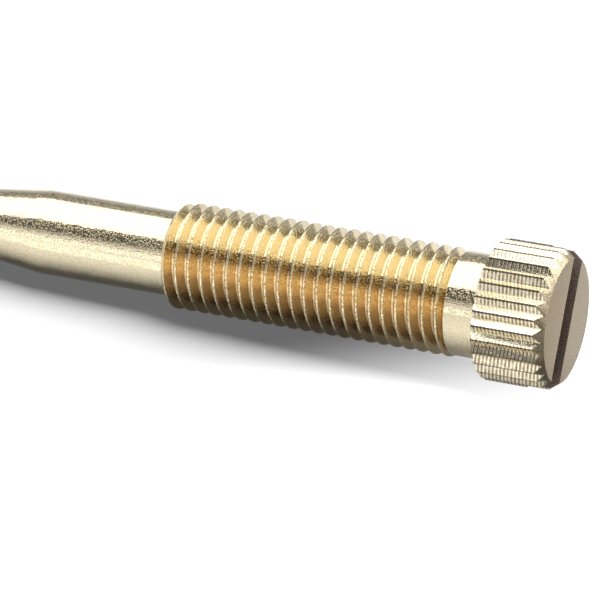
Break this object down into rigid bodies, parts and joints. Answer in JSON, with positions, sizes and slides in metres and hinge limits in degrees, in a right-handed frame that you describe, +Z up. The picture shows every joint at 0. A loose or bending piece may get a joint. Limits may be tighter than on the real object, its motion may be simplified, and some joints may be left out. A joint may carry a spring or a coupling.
{
  "type": "idle adjustment screw",
  "caption": "Turned brass adjustment screw with a slotted, straight-knurled head, a plain collar, a fine thread, a plain shank and a long tapered nose.",
  "frame": {"origin": "centre of the resting screw's bounding box, on the surface it lies on", "axes": "+Z up; +X towards the slotted head; the screw's axis lies in the XZ plane and drops 2.77 degrees towards the nose"},
  "size_m": [0.0402, 0.0076, 0.0077],
  "materials": {
    "brass": "bright turned pale brass"
  },
  "bodies": {
    "root": {"idle_screw": "brass"}
  },
  "joints": []
}
